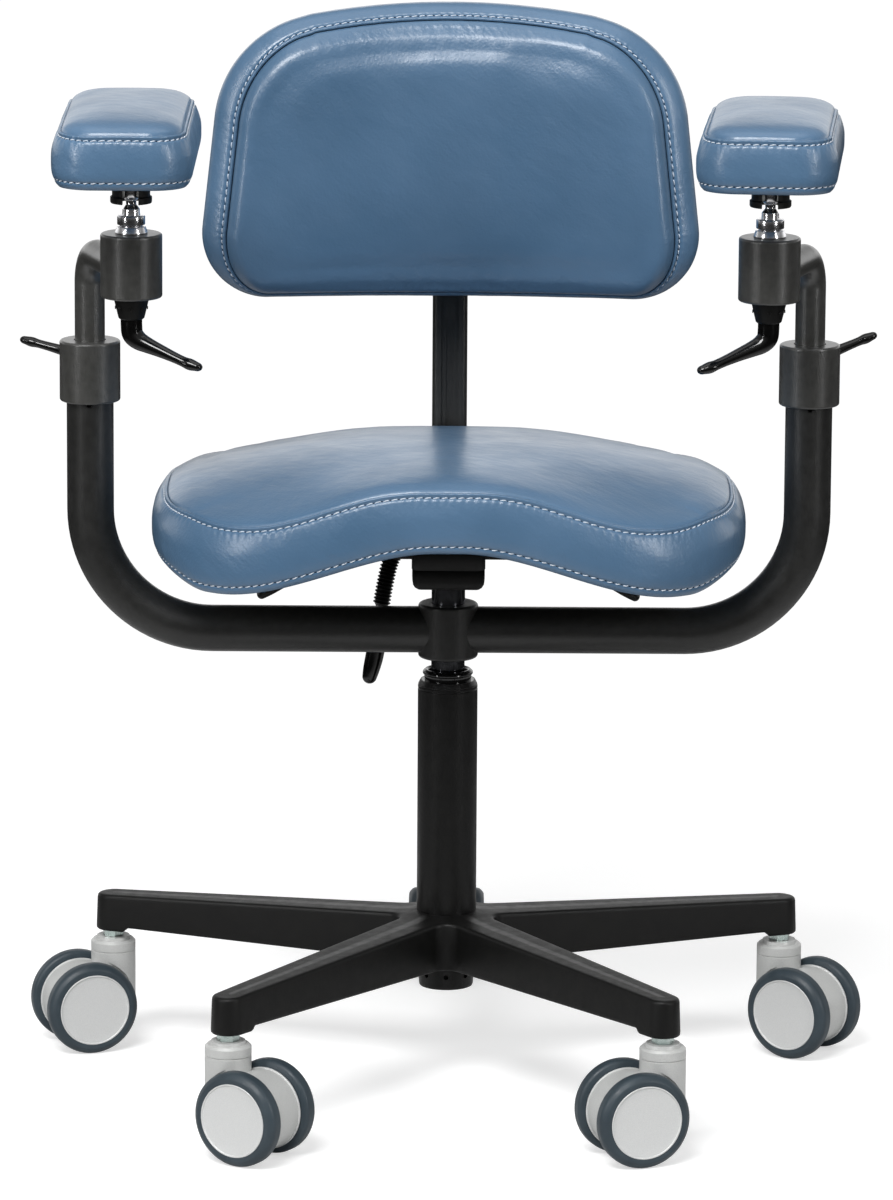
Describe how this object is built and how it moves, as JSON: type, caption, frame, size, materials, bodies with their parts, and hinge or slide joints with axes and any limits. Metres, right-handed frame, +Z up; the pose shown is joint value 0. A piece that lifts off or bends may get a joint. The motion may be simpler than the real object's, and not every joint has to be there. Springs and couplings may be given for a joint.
{
  "type": "dentist stool",
  "caption": "Height-adjustable dental stool with a saddle seat, backrest and a U-shaped arm bar that carries two adjustable arm pads, on a star base with twin-wheel casters.",
  "frame": {"origin": "on the floor, on the column's axis", "axes": "+Z up, -Y the way the sitter faces, +X to the right as seen from the front"},
  "size_m": [0.7153, 0.6693, 0.89],
  "materials": {
    "base_nylon": "matte",
    "black_coat": "matte",
    "black_plastic": "matte",
    "upright_black": "satin",
    "gloss_black": "gloss",
    "zinc": "satin",
    "steel": "satin",
    "cylinder_black": "gloss",
    "chrome": "polished",
    "liner_plastic": "satin",
    "leatherette": "satin",
    "silver_plastic": "satin",
    "wheel": "satin"
  },
  "bodies": {
    "root": {"base_star": "base_nylon", "column_tube": "black_coat", "column_bush": "black_plastic", "thrust_bearing": "steel", "caster_stems": "zinc"},
    "rod": {"piston_rod": "steel"},
    "upper": {"gas_cylinder": "cylinder_black", "arm_bar_bush": "black_plastic", "mech_housing": "black_coat", "mech_cover": "black_coat", "seat_pan": "black_plastic", "seat_cushion": "leatherette", "back_pin": "steel"},
    "valve": {"release_pin": "steel"},
    "lift_lever": {"lift_lever": "gloss_black"},
    "tilt_lever": {"tilt_lever": "gloss_black"},
    "back_lever": {"back_lever": "gloss_black", "lever_bellows": "black_plastic"},
    "back_frame": {"back_carrier": "black_coat"},
    "back_post": {"back_upright": "upright_black", "back_bracket": "black_plastic", "back_shell": "black_plastic", "back_cushion": "leatherette"},
    "back_knob": {"back_knob": "gloss_black"},
    "arm_bar": {"arm_bar": "black_coat", "collar_left": "black_coat", "collar_right": "black_coat"},
    "bush_left": {"collar_bush_left": "black_plastic"},
    "arm_left": {"arm_tube_left": "black_coat"},
    "collar_lever_left": {"collar_lever_left": "gloss_black"},
    "barrel_lever_left": {"barrel_lever_left": "gloss_black"},
    "stud_left": {"ball_stud_left": "chrome"},
    "liner_left": {"ball_liner_left": "liner_plastic"},
    "pad_left": {"pad_bracket_left": "black_plastic", "arm_pad_left": "leatherette"},
    "bush_right": {"collar_bush_right": "black_plastic"},
    "arm_right": {"arm_tube_right": "black_coat"},
    "collar_lever_right": {"collar_lever_right": "gloss_black"},
    "barrel_lever_right": {"barrel_lever_right": "gloss_black"},
    "stud_right": {"ball_stud_right": "chrome"},
    "liner_right": {"ball_liner_right": "liner_plastic"},
    "pad_right": {"pad_bracket_right": "black_plastic", "arm_pad_right": "leatherette"},
    "caster_side_right": {"caster_side_right_housing": "silver_plastic"},
    "wheel_side_right_a": {"caster_side_right_wheel_a": "wheel"},
    "wheel_side_right_b": {"caster_side_right_wheel_b": "wheel"},
    "caster_rear": {"caster_rear_housing": "silver_plastic"},
    "wheel_rear_a": {"caster_rear_wheel_a": "wheel"},
    "wheel_rear_b": {"caster_rear_wheel_b": "wheel"},
    "caster_side_left": {"caster_side_left_housing": "silver_plastic"},
    "wheel_side_left_a": {"caster_side_left_wheel_a": "wheel"},
    "wheel_side_left_b": {"caster_side_left_wheel_b": "wheel"},
    "caster_front_left": {"caster_front_left_housing": "silver_plastic"},
    "wheel_front_left_a": {"caster_front_left_wheel_a": "wheel"},
    "wheel_front_left_b": {"caster_front_left_wheel_b": "wheel"},
    "caster_front_right": {"caster_front_right_housing": "silver_plastic"},
    "wheel_front_right_a": {"caster_front_right_wheel_a": "wheel"},
    "wheel_front_right_b": {"caster_front_right_wheel_b": "wheel"}
  },
  "joints": [
    {"name": "seat_swivel", "type": "hinge", "parent": "root", "child": "rod", "pos_m": [0, 0, 0.09], "axis": [0, 0, 1], "continuous": true},
    {"name": "seat_lift", "type": "slide", "parent": "rod", "child": "upper", "axis": [0, 0, 1], "range_m": [0, 0.13]},
    {"name": "lift_lever_pull", "type": "hinge", "parent": "upper", "child": "lift_lever", "pos_m": [0.02, -0.03, 0.455], "axis": [0, -1, 0], "range_deg": [0, 3], "stiffness_Nm_per_rad": 1},
    {"name": "valve_press", "type": "slide", "parent": "upper", "child": "valve", "axis": [0, 0, -1], "range_m": [0, 0.003]},
    {"name": "tilt_lever_pull", "type": "hinge", "parent": "upper", "child": "tilt_lever", "pos_m": [-0.02, -0.03, 0.455], "axis": [0, 1, 0], "range_deg": [0, 3], "stiffness_Nm_per_rad": 1},
    {"name": "back_lever_swing", "type": "hinge", "parent": "upper", "child": "back_lever", "pos_m": [-0.02, 0.046, 0.455], "axis": [0, 1, 0], "range_deg": [0, 10], "stiffness_Nm_per_rad": 1},
    {"name": "back_tilt", "type": "hinge", "parent": "upper", "child": "back_frame", "pos_m": [0, 0.102, 0.458], "axis": [-1, 0, 0], "range_deg": [-3, 14]},
    {"name": "back_height", "type": "slide", "parent": "back_frame", "child": "back_post", "axis": [0, 0, 1], "range_m": [-0.02, 0.06]},
    {"name": "back_knob_turn", "type": "hinge", "parent": "back_frame", "child": "back_knob", "pos_m": [0, 0.23, 0.49], "axis": [0, 1, 0], "continuous": true},
    {"name": "arm_bar_swing", "type": "hinge", "parent": "upper", "child": "arm_bar", "pos_m": [0, 0, 0.385], "axis": [0, 0, 1], "range_deg": [-10, 10]},
    {"name": "arm_turn_left", "type": "hinge", "parent": "arm_bar", "child": "bush_left", "pos_m": [-0.2985, 0, 0.602], "axis": [0, 0, 1], "range_deg": [-25, 25]},
    {"name": "arm_height_left", "type": "slide", "parent": "bush_left", "child": "arm_left", "axis": [0, 0, 1], "range_m": [-0.03, 0.06]},
    {"name": "collar_lever_turn_left", "type": "hinge", "parent": "arm_bar", "child": "collar_lever_left", "pos_m": [-0.2985, 0.05, 0.604], "axis": [0, 1, 0], "range_deg": [0, 90]},
    {"name": "barrel_lever_turn_left", "type": "hinge", "parent": "arm_left", "child": "barrel_lever_left", "pos_m": [-0.259, -0.11, 0.712], "axis": [0, 0, 1], "range_deg": [-60, 60]},
    {"name": "pad_swivel_left", "type": "hinge", "parent": "arm_left", "child": "stud_left", "pos_m": [-0.259, -0.11, 0.712], "axis": [0, 0, 1], "range_deg": [-30, 30]},
    {"name": "pad_pitch_left", "type": "hinge", "parent": "stud_left", "child": "liner_left", "pos_m": [-0.259, -0.11, 0.77], "axis": [1, 0, 0], "range_deg": [-14, 14]},
    {"name": "pad_roll_left", "type": "hinge", "parent": "liner_left", "child": "pad_left", "pos_m": [-0.259, -0.11, 0.77], "axis": [0, 1, 0], "range_deg": [-14, 14]},
    {"name": "arm_turn_right", "type": "hinge", "parent": "arm_bar", "child": "bush_right", "pos_m": [0.2985, 0, 0.602], "axis": [0, 0, 1], "range_deg": [-25, 25]},
    {"name": "arm_height_right", "type": "slide", "parent": "bush_right", "child": "arm_right", "axis": [0, 0, 1], "range_m": [-0.03, 0.06]},
    {"name": "collar_lever_turn_right", "type": "hinge", "parent": "arm_bar", "child": "collar_lever_right", "pos_m": [0.2985, 0.05, 0.604], "axis": [0, -1, 0], "range_deg": [0, 90]},
    {"name": "barrel_lever_turn_right", "type": "hinge", "parent": "arm_right", "child": "barrel_lever_right", "pos_m": [0.259, -0.11, 0.712], "axis": [0, 0, 1], "range_deg": [-60, 60]},
    {"name": "pad_swivel_right", "type": "hinge", "parent": "arm_right", "child": "stud_right", "pos_m": [0.259, -0.11, 0.712], "axis": [0, 0, 1], "range_deg": [-30, 30]},
    {"name": "pad_pitch_right", "type": "hinge", "parent": "stud_right", "child": "liner_right", "pos_m": [0.259, -0.11, 0.77], "axis": [1, 0, 0], "range_deg": [-14, 14]},
    {"name": "pad_roll_right", "type": "hinge", "parent": "liner_right", "child": "pad_right", "pos_m": [0.259, -0.11, 0.77], "axis": [0, 1, 0], "range_deg": [-14, 14]},
    {"name": "caster_side_right_swivel", "type": "hinge", "parent": "root", "child": "caster_side_right", "pos_m": [0.28532, 0.0927, 0.08], "axis": [0, 0, 1], "continuous": true},
    {"name": "wheel_side_right_a_spin", "type": "hinge", "parent": "caster_side_right", "child": "wheel_side_right_a", "pos_m": [0.30702, 0.07751, 0.03925], "axis": [0.5736, 0.8192, 0], "continuous": true},
    {"name": "wheel_side_right_b_spin", "type": "hinge", "parent": "caster_side_right", "child": "wheel_side_right_b", "pos_m": [0.30702, 0.07751, 0.03925], "axis": [0.5736, 0.8192, 0], "continuous": true},
    {"name": "caster_rear_swivel", "type": "hinge", "parent": "root", "child": "caster_rear", "pos_m": [0, 0.3, 0.08], "axis": [0, 0, 1], "continuous": true},
    {"name": "wheel_rear_a_spin", "type": "hinge", "parent": "caster_rear", "child": "wheel_rear_a", "pos_m": [0, 0.3265, 0.03925], "axis": [-1, 0, 0], "continuous": true},
    {"name": "wheel_rear_b_spin", "type": "hinge", "parent": "caster_rear", "child": "wheel_rear_b", "pos_m": [0, 0.3265, 0.03925], "axis": [-1, 0, 0], "continuous": true},
    {"name": "caster_side_left_swivel", "type": "hinge", "parent": "root", "child": "caster_side_left", "pos_m": [-0.28532, 0.0927, 0.08], "axis": [0, 0, 1], "continuous": true},
    {"name": "wheel_side_left_a_spin", "type": "hinge", "parent": "caster_side_left", "child": "wheel_side_left_a", "pos_m": [-0.31022, 0.08364, 0.03925], "axis": [0.342, -0.9397, 0], "continuous": true},
    {"name": "wheel_side_left_b_spin", "type": "hinge", "parent": "caster_side_left", "child": "wheel_side_left_b", "pos_m": [-0.31022, 0.08364, 0.03925], "axis": [0.342, -0.9397, 0], "continuous": true},
    {"name": "caster_front_left_swivel", "type": "hinge", "parent": "root", "child": "caster_front_left", "pos_m": [-0.17634, -0.24271, 0.08], "axis": [0, 0, 1], "continuous": true},
    {"name": "wheel_front_left_a_spin", "type": "hinge", "parent": "caster_front_left", "child": "wheel_front_left_a", "pos_m": [-0.15411, -0.25714, 0.03925], "axis": [0.5446, 0.8387, 0], "continuous": true},
    {"name": "wheel_front_left_b_spin", "type": "hinge", "parent": "caster_front_left", "child": "wheel_front_left_b", "pos_m": [-0.15411, -0.25714, 0.03925], "axis": [0.5446, 0.8387, 0], "continuous": true},
    {"name": "caster_front_right_swivel", "type": "hinge", "parent": "root", "child": "caster_front_right", "pos_m": [0.17634, -0.24271, 0.08], "axis": [0, 0, 1], "continuous": true},
    {"name": "wheel_front_right_a_spin", "type": "hinge", "parent": "caster_front_right", "child": "wheel_front_right_a", "pos_m": [0.1516, -0.2522, 0.03925], "axis": [0.3584, -0.9336, 0], "continuous": true},
    {"name": "wheel_front_right_b_spin", "type": "hinge", "parent": "caster_front_right", "child": "wheel_front_right_b", "pos_m": [0.1516, -0.2522, 0.03925], "axis": [0.3584, -0.9336, 0], "continuous": true}
  ],
  "couplings": [
    {"joint": "valve_press", "follows": "lift_lever_pull", "m_per_rad": 0.0477}
  ]
}
